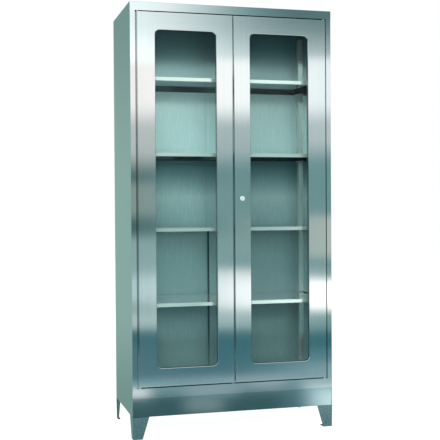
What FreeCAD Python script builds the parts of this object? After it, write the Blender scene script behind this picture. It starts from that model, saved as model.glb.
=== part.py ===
import FreeCAD, Part
import math
import os
import Sketcher
from FreeCAD import Placement, Rotation, Vector

# A stainless steel display cabinet on four short feet, with two glazed doors.
# Millimetres. The origin is on the floor under the middle of the cabinet, +Z is up,
# the doors face -Y and +X is on the right of someone who looks at the doors.

# Driving dimensions, one spreadsheet cell each
DRIVING = {
    "width": 950, "depth": 475, "total_height": 1950,
    "foot_height": 100, "plinth_height": 84, "bottom_rail": 44, "top_rail": 38,
    "side_flange": 23, "sheet": 1.5, "thin_sheet": 1.2, "corner_radius": 1.4,
    "stop_depth": 24.5, "stop_width": 10, "stop_rise": 12, "base_return": 20, "fit": 0.1,
    "plinth_setback": 3, "rear_flange": 20, "seam_flange": 6, "seam_gap": 1.2,
    "floor_rim": 25, "stiffener_depth": 22, "stiffener_width": 60, "stiffener_brim": 15,
    "seam_cover_width": 24, "seam_cover_depth": 8, "seam_cover_foot": 8,
    "foot_top_width": 75, "foot_base_width": 43, "foot_lean": 1.5, "foot_sheet": 2,
    "rear_foot_top": 21, "rear_foot_base": 11,
    "corner_plate": 78, "corner_plate_cut": 22, "corner_plate_sheet": 3,
    "shelf_first": 600, "shelf_pitch": 342, "shelf_rise": 16, "shelf_side_gap": 3,
    "shelf_front_setback": 47.5, "shelf_rear_setback": 12.5, "shelf_hem": 10,
    "upright_width": 25, "upright_depth": 12, "upright_front": 77.5, "upright_rear": 52.5,
    "upright_foot_gap": 3, "upright_margin": 12,
    "slot_pitch": 57, "slot_width": 14, "slot_rise": 4,
    "clip_width": 13, "clip_sheet": 2, "clip_ledge": 12.5, "clip_hook": 8,
    "door_gap": 4, "door_depth": 20, "outer_stile": 86, "inner_stile": 78,
    "head_width": 78, "foot_rail": 82, "window_radius": 22,
    "window_bend": 1.6, "window_return": 5,
    "gasket_lip": 1, "gasket_wall": 3, "pane": 4, "pane_overlap": 8,
    "pivot_inset": 8, "pin_radius": 4, "pin_clearance": 0.05, "pin_reach": 23,
    "pin_plate": 12.5, "pin_plate_sheet": 2.5, "bush_width": 11, "bush_length": 22,
    "bush_flange_width": 13, "bush_flange": 1.2,
    "buffer_radius": 5, "buffer_x": 30, "buffer_rise": 6.5,
    "lock_x": 40, "lock_height": 1075, "lock_radius": 9.5, "core_radius": 7,
    "collar_radius": 11, "collar": 2, "barrel_gap": 0.7, "core_recess": 0.2,
    "key_slot_width": 1.6, "key_slot_length": 8, "key_slot_depth": 14,
    "lock_nut_rim": 4, "lock_nut_height": 4, "tail": 4.8, "tail_end": 0.5,
    "cam_reach": 15, "cam_tip": 8, "cam_waist": 18, "cam_sheet": 3,
    "crank": 11, "crank_pin_radius": 2, "screw_head_radius": 6, "screw_head": 3,
    "rod_width": 11.2, "rod_sheet": 4, "rod_offset": 9.4, "rod_standoff": 8,
    "rod_clearance": 0.3, "rod_end": 6, "slot_play": 0.6, "rod_tip_gap": 5.5,
    "bolt_bar_length": 150, "guide_wall": 2.3, "guide_length": 22,
    "tab_reach": 8, "tab_sheet": 3,
}

doc = FreeCAD.newDocument("DisplayCabinet")
sheet = doc.addObject("Spreadsheet::Sheet", "Sizes")
for row, (alias, number) in enumerate(DRIVING.items(), start=1):
    sheet.set(f"A{row}", alias.replace("_", " "))
    sheet.set(f"B{row}", str(number))
    sheet.setAlias(f"B{row}", alias)
doc.recompute()


class Size:
    """A length: its number now, and the formula of sheet cells that keeps it up to date."""

    def __init__(self, number, formula):
        self.number = float(number)
        self.formula = formula

    def __add__(self, other):
        other = as_size(other)
        return Size(self.number + other.number, f"({self.formula} + {other.formula})")

    def __sub__(self, other):
        other = as_size(other)
        return Size(self.number - other.number, f"({self.formula} - {other.formula})")

    def __mul__(self, other):
        other = as_size(other)
        return Size(self.number * other.number, f"{self.formula} * {other.formula}")

    def __truediv__(self, other):
        other = as_size(other)
        return Size(self.number / other.number, f"{self.formula} / {other.formula}")

    def __neg__(self):
        return Size(-self.number, f"(0 - {self.formula})")

    __radd__ = __add__
    __rmul__ = __mul__

    def __rsub__(self, other):
        return as_size(other) - self


def as_size(value):
    """A plain number as a Size, and a Size as it is."""
    return value if isinstance(value, Size) else Size(value, f"({value})")


def cell(alias):
    """The Size that a cell of the sheet drives."""
    return Size(DRIVING[alias], f"Sizes.{alias}")


SHEET = cell("sheet")
THIN = cell("thin_sheet")
HALF_WIDTH = cell("width") / 2
FRONT = -(cell("depth") / 2)
REAR = cell("depth") / 2
INNER_WALL = HALF_WIDTH - SHEET
FOOT_TOP = cell("foot_height")
PLINTH_TOP = FOOT_TOP + cell("plinth_height")
OPENING_BOTTOM = PLINTH_TOP + cell("bottom_rail")
OPENING_TOP = cell("total_height") - cell("top_rail")
OPENING_SIDE = HALF_WIDTH - cell("side_flange")
STOP_FACE = FRONT + cell("stop_depth")
STOP_BACK = STOP_FACE + SHEET
STOP_SIDE = OPENING_SIDE - cell("stop_width")
BACK_SHEET_FRONT = REAR - SHEET - THIN
FIT = cell("fit")

DOOR_OUTER = OPENING_SIDE - cell("door_gap")
DOOR_INNER = cell("door_gap") / 2
DOOR_BOTTOM = OPENING_BOTTOM + cell("door_gap")
DOOR_TOP = OPENING_TOP - cell("door_gap")
DOOR_BACK = FRONT + cell("door_depth")
WINDOW_OUTER = DOOR_OUTER - cell("outer_stile")
WINDOW_INNER = DOOR_INNER + cell("inner_stile")
WINDOW_BOTTOM = DOOR_BOTTOM + cell("foot_rail")
WINDOW_TOP = DOOR_TOP - cell("head_width")
PANE_FRONT = FRONT + cell("window_return") + cell("gasket_lip")
PANE_BACK = PANE_FRONT + cell("pane")
PIVOT_X = DOOR_OUTER - cell("pivot_inset")
PIVOT_Y = FRONT + cell("pivot_inset")

ROD_FRONT = DOOR_BACK + cell("rod_standoff")
ROD_BACK = ROD_FRONT + cell("rod_sheet")
ROD_TOP = OPENING_TOP - cell("stop_rise") - cell("rod_tip_gap")
ROD_BOTTOM = OPENING_BOTTOM + cell("stop_rise") + cell("rod_tip_gap")
CAM_FRONT = ROD_BACK + cell("rod_clearance")
SHELF_COUNT = 4
SLOTS_UNDER_FIRST_SHELF = 5
DIAGONAL = round(math.sqrt(0.5), 6)


# Sketches and features

def bind(thing, path, size):
    """Give a property its number, and the formula that drives it."""
    size = as_size(size)
    if "." not in path and "[" not in path:
        setattr(thing, path, size.number)
    thing.setExpression(path, size.formula)


def new_body(name, x=0, y=0, z=0):
    """An empty body with its label and a placement bound to the sheet."""
    body = doc.addObject("PartDesign::Body", "Body_" + name)
    body.Label = name
    body.Placement = Placement(
        Vector(as_size(x).number, as_size(y).number, as_size(z).number), Rotation())
    for axis, size in (("x", x), ("y", y), ("z", z)):
        if isinstance(size, Size):
            bind(body, f"Placement.Base.{axis}", size)
    return body


def origin_part(body, role):
    """One of the body's own origin planes or axes."""
    return next(part for part in body.Origin.OriginFeatures if part.Role == role)


def new_sketch(body, plane, offset=0):
    """A sketch on the body's XY, XZ or YZ plane, moved to that coordinate of its normal."""
    sketch = body.newObject("Sketcher::SketchObject", f"{body.Name}_{plane}")
    sketch.AttachmentSupport = (origin_part(body, f"{plane}_Plane"), [""])
    sketch.MapMode = "FlatFace"
    offset = as_size(offset)
    along_normal = -offset if plane == "XZ" else offset
    sketch.AttachmentOffset = Placement(Vector(0, 0, along_normal.number), Rotation())
    bind(sketch, "AttachmentOffset.Base.z", along_normal)
    return sketch


def constrain(sketch, kind, *references_and_size):
    """A dimension of the sketch, bound to the sheet."""
    *references, size = references_and_size
    size = as_size(size)
    index = sketch.addConstraint(Sketcher.Constraint(kind, *references, size.number))
    sketch.setExpression(f"Constraints[{index}]", size.formula)


def polygon(sketch, corners):
    """A closed outline through the corners, each placed from the sketch's origin."""
    corners = [(as_size(u), as_size(v)) for u, v in corners]
    points = [Vector(u.number, v.number, 0) for u, v in corners]
    lines = [sketch.addGeometry(Part.LineSegment(a, b), False)
             for a, b in zip(points, points[1:] + points[:1])]
    for line, following in zip(lines, lines[1:] + lines[:1]):
        sketch.addConstraint(Sketcher.Constraint("Coincident", line, 2, following, 1))
    for line, (u, v) in zip(lines, corners):
        constrain(sketch, "DistanceX", -1, 1, line, 1, u)
        constrain(sketch, "DistanceY", -1, 1, line, 1, v)


def rectangle(sketch, left, right, bottom, top):
    polygon(sketch, [(left, bottom), (right, bottom), (right, top), (left, top)])


def circle(sketch, u, v, radius):
    """A circle with a bound centre and radius."""
    u, v, radius = as_size(u), as_size(v), as_size(radius)
    centre = Vector(u.number, v.number, 0)
    ring = sketch.addGeometry(Part.Circle(centre, Vector(0, 0, 1), radius.number), False)
    constrain(sketch, "DistanceX", -1, 1, ring, 3, u)
    constrain(sketch, "DistanceY", -1, 1, ring, 3, v)
    constrain(sketch, "Radius", ring, radius)


def rounded_rectangle(sketch, left, right, bottom, top, radius):
    """Four lines and four tangent arcs of one radius."""
    left, right, bottom, top = (as_size(size) for size in (left, right, bottom, top))
    r = as_size(radius).number
    x0, x1, y0, y1 = left.number, right.number, bottom.number, top.number
    ends = [((x0 + r, y0), (x1 - r, y0)), ((x1, y0 + r), (x1, y1 - r)),
            ((x1 - r, y1), (x0 + r, y1)), ((x0, y1 - r), (x0, y0 + r))]
    centres = [(x1 - r, y0 + r), (x1 - r, y1 - r), (x0 + r, y1 - r), (x0 + r, y0 + r)]
    lines = [sketch.addGeometry(Part.LineSegment(Vector(*a, 0), Vector(*b, 0)), False)
             for a, b in ends]
    arcs = []
    for quarter, (u, v) in enumerate(centres):
        start = (quarter - 1) * math.pi / 2
        whole = Part.Circle(Vector(u, v, 0), Vector(0, 0, 1), r)
        arcs.append(sketch.addGeometry(
            Part.ArcOfCircle(whole, start, start + math.pi / 2), False))
    for side in range(4):
        sketch.addConstraint(Sketcher.Constraint("Tangent", lines[side], 2, arcs[side], 1))
        sketch.addConstraint(
            Sketcher.Constraint("Tangent", arcs[side], 2, lines[(side + 1) % 4], 1))
    for side, direction in enumerate(("Horizontal", "Vertical") * 2):
        sketch.addConstraint(Sketcher.Constraint(direction, lines[side]))
    for arc in arcs[1:]:
        sketch.addConstraint(Sketcher.Constraint("Equal", arcs[0], arc))
    constrain(sketch, "Radius", arcs[0], radius)
    constrain(sketch, "DistanceY", -1, 1, lines[0], 1, bottom)
    constrain(sketch, "DistanceX", -1, 1, lines[1], 1, right)
    constrain(sketch, "DistanceY", -1, 1, lines[2], 1, top)
    constrain(sketch, "DistanceX", -1, 1, lines[3], 1, left)


def add_feature(body, kind, sketch, length, backwards):
    feature = body.newObject("PartDesign::" + kind, f"{body.Name}_{kind}")
    feature.Profile = sketch
    feature.Reversed = backwards
    bind(feature, "Length", length)
    sketch.Visibility = False
    return feature


def pad(body, sketch, length, backwards=False):
    """Thicken a sketch towards +X, -Y or +Z, or the other way when backwards."""
    return add_feature(body, "Pad", sketch, length, backwards)


cuts = []


def pocket(body, sketch, length, backwards=False):
    """Cut a sketch towards -X, +Y or -Z, or the other way when backwards."""
    before = body.Tip
    feature = add_feature(body, "Pocket", sketch, length, backwards)
    cuts.append((before, feature))
    return feature


def strip(body, half_length, corners):
    """A folded section in Y and Z, run across the cabinet between -half and +half length."""
    section = new_sketch(body, "YZ", -half_length)
    polygon(section, corners)
    return pad(body, section, half_length * 2)


def box(body, left, right, front, back, bottom, top):
    """A straight length of sheet between two heights."""
    plan = new_sketch(body, "XY", bottom)
    rectangle(plan, left, right, front, back)
    return pad(body, plan, top - bottom)


def turn(body, outline):
    """A round piece: an outline of radius and depth, turned about the body's Y axis."""
    sketch = new_sketch(body, "XY")
    polygon(sketch, outline)
    feature = body.newObject("PartDesign::Revolution", f"{body.Name}_Revolution")
    feature.Profile = sketch
    feature.ReferenceAxis = (origin_part(body, "Y_Axis"), [""])
    feature.Angle = 360


def finish_edges(body, kind, size, is_wanted):
    """A Fillet or a Chamfer on the edges of the body's tip that the test picks."""
    doc.recompute()
    tip = body.Tip
    names = [f"Edge{number}" for number, edge in enumerate(tip.Shape.Edges, start=1)
             if is_wanted(edge)]
    feature = body.newObject("PartDesign::" + kind, f"{body.Name}_{kind}")
    feature.Base = (tip, names)
    bind(feature, "Radius" if kind == "Fillet" else "Size", size)


def runs_along(edge, axis, **at):
    """Whether an edge is straight along an axis, at the given coordinates of the others."""
    ends = [vertex.Point for vertex in edge.Vertexes]
    if len(ends) != 2 or abs(getattr(ends[1] - ends[0], axis)) < edge.Length - 0.001:
        return False
    return all(abs(getattr(ends[0], name) - as_size(size).number) < 0.01
               for name, size in at.items())


def sided(side, corners):
    """Corners in plan, mirrored to the left (-1) or the right (+1) side."""
    return [(side * x, y) for x, y in corners]


def in_order(first, second):
    return (first, second) if first.number < second.number else (second, first)


# Carcass

def side_panel(name, side):
    """One folded wall: rear flange, front flange with the door stop, and base flange."""
    body = new_body(name)
    wall = new_sketch(body, "XY", FOOT_TOP)
    polygon(wall, sided(side, [
        (HALF_WIDTH, REAR), (HALF_WIDTH, FRONT + SHEET), (INNER_WALL, FRONT + SHEET),
        (INNER_WALL, REAR - SHEET), (HALF_WIDTH - cell("rear_flange"), REAR - SHEET),
        (HALF_WIDTH - cell("rear_flange"), REAR)]))
    pad(body, wall, cell("total_height") - SHEET - FOOT_TOP)
    jamb = new_sketch(body, "XY", OPENING_BOTTOM)
    jamb_back = OPENING_SIDE + SHEET
    polygon(jamb, sided(side, [
        (HALF_WIDTH, FRONT + SHEET), (HALF_WIDTH, FRONT), (OPENING_SIDE, FRONT),
        (OPENING_SIDE, STOP_FACE), (STOP_SIDE, STOP_FACE), (STOP_SIDE, STOP_BACK),
        (jamb_back, STOP_BACK), (jamb_back, FRONT + SHEET)]))
    pad(body, jamb, OPENING_TOP - OPENING_BOTTOM)
    edge = new_sketch(body, "XY", FOOT_TOP)
    rectangle(edge, *in_order(side * INNER_WALL, side * HALF_WIDTH), FRONT, FRONT + SHEET)
    pad(body, edge, cell("plinth_height"))
    base = new_sketch(body, "XY", FOOT_TOP)
    inset = cell("plinth_setback") + SHEET + cell("base_return")
    rectangle(base, *in_order(side * (INNER_WALL - cell("base_return")), side * INNER_WALL),
              FRONT + inset, REAR - inset)
    pad(body, base, SHEET)
    finish_edges(body, "Fillet", cell("corner_radius"), lambda edge: runs_along(
        edge, "z", x=side * HALF_WIDTH, y=FRONT) and edge.Length > cell("plinth_height").number)


def top_panel():
    """The top, its front rail, the head of the door opening with its stop, and a rear flange."""
    body = new_body("top_panel")
    top = cell("total_height")
    strip(body, HALF_WIDTH, [
        (REAR, top), (FRONT, top), (FRONT, OPENING_TOP), (FRONT + SHEET, OPENING_TOP),
        (FRONT + SHEET, top - SHEET), (REAR, top - SHEET)])
    head_stop(body, OPENING_TOP, 1)
    strip(body, HALF_WIDTH - cell("rear_flange") - FIT, [
        (REAR - SHEET, top - SHEET), (REAR, top - SHEET),
        (REAR, top - SHEET - cell("rear_flange")),
        (REAR - SHEET, top - SHEET - cell("rear_flange"))])
    pivot_holes(body, OPENING_TOP)
    finish_edges(body, "Fillet", cell("corner_radius"),
                 lambda edge: runs_along(edge, "x", y=FRONT, z=top))


def head_stop(body, level, up):
    """The inner fold of a rail at the opening's head (up +1) or sill (-1), with its stop."""
    strip(body, OPENING_SIDE, [
        (FRONT + SHEET, level), (STOP_BACK, level),
        (STOP_BACK, level + up * SHEET), (FRONT + SHEET, level + up * SHEET)])
    strip(body, STOP_SIDE, [
        (STOP_FACE, level), (STOP_BACK, level),
        (STOP_BACK, level - up * cell("stop_rise")),
        (STOP_FACE, level - up * cell("stop_rise"))])


def pivot_holes(body, level):
    """Two holes for the door pivots through the inner fold."""
    sketch = new_sketch(body, "XY", level + SHEET * 2)
    for side in (-1, 1):
        circle(sketch, side * PIVOT_X, PIVOT_Y, cell("pin_radius"))
    pocket(body, sketch, SHEET * 4)


def bottom_rail():
    """The rail under the doors, folded into the sill of the opening and its stop."""
    body = new_body("bottom_rail")
    strip(body, HALF_WIDTH, [
        (FRONT, PLINTH_TOP), (FRONT + SHEET, PLINTH_TOP),
        (FRONT + SHEET, OPENING_BOTTOM), (FRONT, OPENING_BOTTOM)])
    head_stop(body, OPENING_BOTTOM, -1)
    strip(body, INNER_WALL - FIT, [
        (FRONT + SHEET, PLINTH_TOP), (STOP_FACE, PLINTH_TOP),
        (STOP_FACE, PLINTH_TOP + SHEET), (FRONT + SHEET, PLINTH_TOP + SHEET)])
    pivot_holes(body, OPENING_BOTTOM)
    finish_edges(body, "Chamfer", cell("corner_radius") / 2,
                 lambda edge: runs_along(edge, "x", y=FRONT, z=PLINTH_TOP))


def floor_panel():
    """The cabinet floor, a tray turned down on all four sides."""
    body = new_body("floor_panel")
    side, back = INNER_WALL - FIT, BACK_SHEET_FRONT - FIT
    low, under = OPENING_BOTTOM - cell("floor_rim"), OPENING_BOTTOM - SHEET
    strip(body, side, [
        (STOP_BACK, OPENING_BOTTOM), (back, OPENING_BOTTOM), (back, low), (back - SHEET, low),
        (back - SHEET, under), (STOP_BACK + SHEET, under), (STOP_BACK + SHEET, low),
        (STOP_BACK, low)])
    for hand in (-1, 1):
        box(body, *in_order(hand * (side - SHEET), hand * side),
            STOP_BACK + SHEET, back - SHEET, low, under)


def floor_stiffener():
    """A hat section across the cabinet, under the floor."""
    body = new_body("floor_stiffener")
    top, low = OPENING_BOTTOM - SHEET, OPENING_BOTTOM - cell("stiffener_depth")
    half = cell("stiffener_width") / 2
    brim = half + cell("stiffener_brim")
    strip(body, INNER_WALL - SHEET - FIT * 2, [
        (-brim, top), (-half, top), (-half, low), (half, low), (half, top), (brim, top),
        (brim, top - SHEET), (half + SHEET, top - SHEET), (half + SHEET, low - SHEET),
        (-half - SHEET, low - SHEET), (-half - SHEET, top - SHEET), (-brim, top - SHEET)])


def plinth_panel(name, face, inward):
    """A channel that closes the base, open towards the inside."""
    body = new_body(name)
    inner, fold = face + inward * SHEET, face + inward * (SHEET + cell("base_return"))
    strip(body, INNER_WALL - FIT, [
        (face, FOOT_TOP), (fold, FOOT_TOP), (fold, FOOT_TOP + SHEET),
        (inner, FOOT_TOP + SHEET), (inner, PLINTH_TOP - SHEET),
        (fold, PLINTH_TOP - SHEET), (fold, PLINTH_TOP), (face, PLINTH_TOP)])


def back_panel(name, side):
    """Half of the back, with a flange turned forward at the centre seam."""
    body = new_body(name)
    seam, front = side * cell("seam_gap") / 2, BACK_SHEET_FRONT
    top = cell("total_height") - SHEET
    box(body, *in_order(seam, side * (INNER_WALL - FIT)), front, front + THIN,
        PLINTH_TOP, top)
    box(body, *in_order(seam, seam + side * THIN), front - cell("seam_flange"), front,
        OPENING_BOTTOM, top)


def back_seam_cover():
    """A hat section over the seam flanges, seen through the doors as a pale line."""
    body = new_body("back_seam_cover")
    half, face = cell("seam_cover_width") / 2, BACK_SHEET_FRONT - cell("seam_cover_depth")
    brim = half + cell("seam_cover_foot")
    plan = new_sketch(body, "XY", OPENING_BOTTOM)
    polygon(plan, [
        (-brim, BACK_SHEET_FRONT), (-brim, BACK_SHEET_FRONT - THIN),
        (-half, BACK_SHEET_FRONT - THIN), (-half, face), (half, face),
        (half, BACK_SHEET_FRONT - THIN), (brim, BACK_SHEET_FRONT - THIN),
        (brim, BACK_SHEET_FRONT), (half - THIN, BACK_SHEET_FRONT), (half - THIN, face + THIN),
        (-half + THIN, face + THIN), (-half + THIN, BACK_SHEET_FRONT)])
    pad(body, plan, cell("total_height") - SHEET - OPENING_BOTTOM)


# Base and feet

def foot_taper(body, kind, side, end, inset, low, high):
    """A four-sided taper at the cabinet's corner between two heights, in from its outer faces.

    Front feet (end -1) are as wide as they are deep, and rear feet are narrow.
    """
    taper = body.newObject(f"PartDesign::{kind}Wedge", f"{body.Name}_{kind}")
    taper.AttachmentSupport = (origin_part(body, "XZ_Plane"), [""])
    taper.MapMode = "FlatFace"
    bind(taper, "Ymin", low)
    bind(taper, "Ymax", high)
    for number, height in (("", low), ("2", high)):
        rise = height / FOOT_TOP
        near = cell("foot_lean") * (1 - rise) + inset
        deep = near + cell("foot_base_width") * (1 - rise) + cell("foot_top_width") * rise
        narrow = near + cell("rear_foot_base") * (1 - rise) + cell("rear_foot_top") * rise
        wide = deep if end < 0 else narrow
        for axis, ends in (("X", in_order(side * (HALF_WIDTH - near), side * (HALF_WIDTH - wide))),
                           ("Z", in_order(-end * (REAR - near), -end * (REAR - deep)))):
            for limit, size in zip(("min", "max"), ends):
                bind(taper, f"{axis}{number}{limit}", size)


def foot(name, side, end):
    """Two tapered flanges between a base plate and the plate that is bolted on."""
    body = new_body(name)
    wall = cell("foot_sheet")
    foot_taper(body, "Additive", side, end, 0, as_size(0), FOOT_TOP)
    foot_taper(body, "Subtractive", side, end, wall, wall, FOOT_TOP - wall)


CORNERS = [(end_name, side_name, side, end)
           for end_name, end in (("front", -1), ("rear", 1))
           for side_name, side in (("left", -1), ("right", 1))]


def corner_plates():
    """Four plates welded into the corners of the base, which the feet are bolted to."""
    body = new_body("base_corner_plates")
    level, inner = FOOT_TOP + SHEET, cell("corner_plate")
    sketch = new_sketch(body, "XY", level)
    edge, cut = cell("plinth_setback") + SHEET + FIT, cell("corner_plate_cut")
    for _, _, side, end in CORNERS:
        polygon(sketch, [
            (side * (INNER_WALL - FIT), end * (REAR - edge)),
            (side * (INNER_WALL - inner), end * (REAR - edge)),
            (side * (INNER_WALL - inner), end * (REAR - inner + cut)),
            (side * (INNER_WALL - inner + cut), end * (REAR - inner)),
            (side * (INNER_WALL - FIT), end * (REAR - inner))])
    pad(body, sketch, cell("corner_plate_sheet"))


def hexagon(sketch, x, y, radius):
    corners = [(x + radius * round(math.cos(turn_angle), 6),
                y + radius * round(math.sin(turn_angle), 6))
               for turn_angle in (math.pi / 3 * step for step in range(6))]
    polygon(sketch, corners)


# Shelves and their supports

UPRIGHT_FACE = INNER_WALL - cell("upright_depth")
CLIP_TOP = cell("shelf_first") - cell("shelf_rise")


def upright_y(end):
    """The middle of a front (-1) or rear (+1) upright."""
    return FRONT + cell("upright_front") if end < 0 else REAR - cell("upright_rear")


def shelf_upright(name, side, end):
    """A slotted channel on the side wall that the shelf clips hook into."""
    body = new_body(name)
    bottom = OPENING_BOTTOM + cell("stop_rise") + cell("upright_foot_gap")
    half, middle = cell("upright_width") / 2, upright_y(end)
    plan = new_sketch(body, "XY", bottom)
    polygon(plan, sided(side, [
        (INNER_WALL, middle - half), (UPRIGHT_FACE, middle - half),
        (UPRIGHT_FACE, middle + half), (INNER_WALL, middle + half),
        (INNER_WALL, middle + half - THIN), (UPRIGHT_FACE + THIN, middle + half - THIN),
        (UPRIGHT_FACE + THIN, middle - half + THIN), (INNER_WALL, middle - half + THIN)]))
    pad(body, plan, OPENING_TOP - cell("stop_rise") - cell("upright_margin") - bottom)
    first = CLIP_TOP - cell("clip_sheet") / 2 - cell("slot_pitch") * SLOTS_UNDER_FIRST_SHELF
    slot = new_sketch(body, "YZ", side * (UPRIGHT_FACE + THIN * (2 if side > 0 else -1)))
    half_slot = cell("slot_width") / 2
    rectangle(slot, middle - half_slot, middle + half_slot,
              first - cell("slot_rise") / 2, first + cell("slot_rise") / 2)
    cut = pocket(body, slot, THIN * 3)
    top = OPENING_TOP - cell("stop_rise") - cell("upright_margin") * 2
    count = int((top - first).number // DRIVING["slot_pitch"]) + 1
    pattern = body.newObject("PartDesign::LinearPattern", "Slots_" + name)
    pattern.Originals = [cut]
    pattern.Direction = (origin_part(body, "Z_Axis"), [""])
    bind(pattern, "Length", cell("slot_pitch") * (count - 1))
    pattern.Occurrences = count
    body.Tip = pattern


def shelf(number):
    """A folded tray with hemmed front and rear edges, on clips at its four corners."""
    body = new_body(f"shelf_{number}", z=cell("shelf_first") + cell("shelf_pitch") * (number - 1))
    front, back = FRONT + cell("shelf_front_setback"), REAR - cell("shelf_rear_setback")
    side = UPRIGHT_FACE - cell("shelf_side_gap")
    low, hem = -cell("shelf_rise"), cell("shelf_hem")
    strip(body, side, [
        (front, 0), (back, 0), (back, low), (back - hem, low), (back - hem, low + THIN),
        (back - THIN, low + THIN), (back - THIN, -THIN), (front + THIN, -THIN),
        (front + THIN, low + THIN), (front + hem, low + THIN), (front + hem, low),
        (front, low)])
    ends = new_sketch(body, "XY", low)
    for hand in (-1, 1):
        rectangle(ends, *in_order(hand * (side - THIN), hand * side),
                  front + THIN, back - THIN)
    pad(body, ends, cell("shelf_rise") - THIN)


def shelf_clips():
    """Hooked clips, four to a shelf, through the slots of the uprights."""
    body = new_body("shelf_clips")
    hook_front = UPRIGHT_FACE + THIN + 0.3
    hook_back = hook_front + cell("clip_sheet")
    low = CLIP_TOP - cell("clip_sheet")
    pads = []
    for end in (-1, 1):
        profile = new_sketch(body, "XZ", upright_y(end) + cell("clip_width") / 2)
        for side in (-1, 1):
            polygon(profile, sided(side, [
                (UPRIGHT_FACE - cell("clip_ledge"), low), (hook_back, low),
                (hook_back, CLIP_TOP + cell("clip_hook")),
                (hook_front, CLIP_TOP + cell("clip_hook")), (hook_front, CLIP_TOP),
                (UPRIGHT_FACE - cell("clip_ledge"), CLIP_TOP)]))
        pads.append(pad(body, profile, cell("clip_width")))
    pattern = body.newObject("PartDesign::LinearPattern", "Clip_rows")
    pattern.Originals = pads
    pattern.Direction = (origin_part(body, "Z_Axis"), [""])
    bind(pattern, "Length", cell("shelf_pitch") * (SHELF_COUNT - 1))
    pattern.Occurrences = SHELF_COUNT
    body.Tip = pattern


# Doors

def door_outline(side, inset):
    """Left, right, bottom and top of a door, drawn in by an inset."""
    left, right = in_order(side * (DOOR_OUTER - inset), side * (DOOR_INNER + inset))
    return left, right, DOOR_BOTTOM + inset, DOOR_TOP - inset


def window_outline(side, inset):
    """Left, right, bottom, top and corner radius of a door's window, drawn in by an inset."""
    left, right = in_order(side * (WINDOW_OUTER - inset), side * (WINDOW_INNER + inset))
    return (left, right, WINDOW_BOTTOM + inset, WINDOW_TOP - inset,
            cell("window_radius") - inset)


def door_skin(name, side):
    """The outer pan: face, folded edges and the short folded return round the window."""
    body = new_body(name)
    block = new_sketch(body, "XZ", FRONT)
    rectangle(block, *door_outline(side, as_size(0)))
    pad(body, block, cell("door_depth"), backwards=True)
    hollow = new_sketch(body, "XZ", DOOR_BACK)
    rectangle(hollow, *door_outline(side, THIN))
    pocket(body, hollow, cell("door_depth") - THIN, backwards=True)
    window_return(body, side, FRONT + THIN, FRONT + cell("window_return"))
    window = new_sketch(body, "XZ", FRONT)
    rounded_rectangle(window, *window_outline(side, as_size(0)))
    if side > 0:
        circle(window, cell("lock_x"), cell("lock_height"), cell("lock_radius"))
    pocket(body, window, cell("door_depth"))
    edges, half = new_sketch(body, "XY", DOOR_TOP + 1), cell("bush_width") / 2
    rectangle(edges, side * PIVOT_X - half, side * PIVOT_X + half, PIVOT_Y - half, PIVOT_Y + half)
    pocket(body, edges, DOOR_TOP - DOOR_BOTTOM + 2)
    finish_edges(body, "Chamfer", cell("window_bend"), lambda edge: is_window_edge(edge, side))
    finish_edges(body, "Chamfer", cell("corner_radius") / 2, lambda edge: any((
        runs_along(edge, "z", x=side * DOOR_OUTER, y=FRONT),
        runs_along(edge, "z", x=side * DOOR_INNER, y=FRONT),
        runs_along(edge, "x", y=FRONT, z=DOOR_TOP),
        runs_along(edge, "x", y=FRONT, z=DOOR_BOTTOM))))


def is_window_edge(edge, side):
    """Whether an edge belongs to the window's outline on the door's face."""
    left, right, bottom, top, _ = window_outline(side, as_size(0))
    box = edge.BoundBox
    return (abs(box.YMin - FRONT.number) < 0.01 and abs(box.YMax - FRONT.number) < 0.01
            and box.XMin > left.number - 0.1 and box.XMax < right.number + 0.1
            and box.ZMin > bottom.number - 0.1 and box.ZMax < top.number + 0.1)


def window_return(body, side, start, end):
    """The sheet folded round the window, between two depths."""
    ring = new_sketch(body, "XZ", start)
    rounded_rectangle(ring, *window_outline(side, as_size(0)))
    rounded_rectangle(ring, *window_outline(side, -THIN))
    pad(body, ring, end - start, backwards=True)


def door_liner(name, side):
    """The inner panel that closes the door's frame and clamps the pane with its own return."""
    body = new_body(name)
    sketch = new_sketch(body, "XZ", DOOR_BACK)
    rectangle(sketch, *door_outline(side, THIN + 0.05))
    rounded_rectangle(sketch, *window_outline(side, as_size(0)))
    if side > 0:
        circle(sketch, cell("lock_x"), cell("lock_height"), cell("lock_radius"))
    pad(body, sketch, THIN)
    window_return(body, side, PANE_BACK + cell("gasket_lip"), DOOR_BACK - THIN)


def door_gasket(name, side):
    """A rubber channel round the pane's edge, between the two window returns."""
    body = new_body(name)
    lip, overlap = cell("gasket_lip"), cell("pane_overlap")
    outer = -overlap - cell("gasket_wall")
    for start, depth in ((PANE_FRONT - lip, lip), (PANE_FRONT, cell("pane")), (PANE_BACK, lip)):
        ring = new_sketch(body, "XZ", start)
        rectangle(ring, *window_outline(side, outer)[:4])
        if depth is lip:
            rounded_rectangle(ring, *window_outline(side, -THIN / 2))
        else:
            rectangle(ring, *window_outline(side, -overlap)[:4])
        pad(body, ring, depth, backwards=True)


def door_pane(name, side):
    """The glass, a plain rectangle larger than the window, held in the gasket."""
    body = new_body(name)
    sketch = new_sketch(body, "XZ", PANE_FRONT)
    rectangle(sketch, *window_outline(side, -cell("pane_overlap"))[:4])
    pad(body, sketch, cell("pane"), backwards=True)


def door_pivot(name, side, level, up):
    """A pin welded to a plate behind the fold of the rail; up is +1 where it points up."""
    body = new_body(name, x=side * PIVOT_X, y=PIVOT_Y, z=level)
    back, seat = -(up * (SHEET + cell("pin_plate_sheet"))), -(up * SHEET)
    half, tip = cell("pin_plate") / 2, up * cell("pin_reach")
    box(body, -half, half, -half, half, *in_order(back, seat))
    low, high = in_order(seat, tip)
    pin = new_sketch(body, "XY", low)
    circle(pin, 0, 0, cell("pin_radius"))
    pad(body, pin, high - low)


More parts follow.
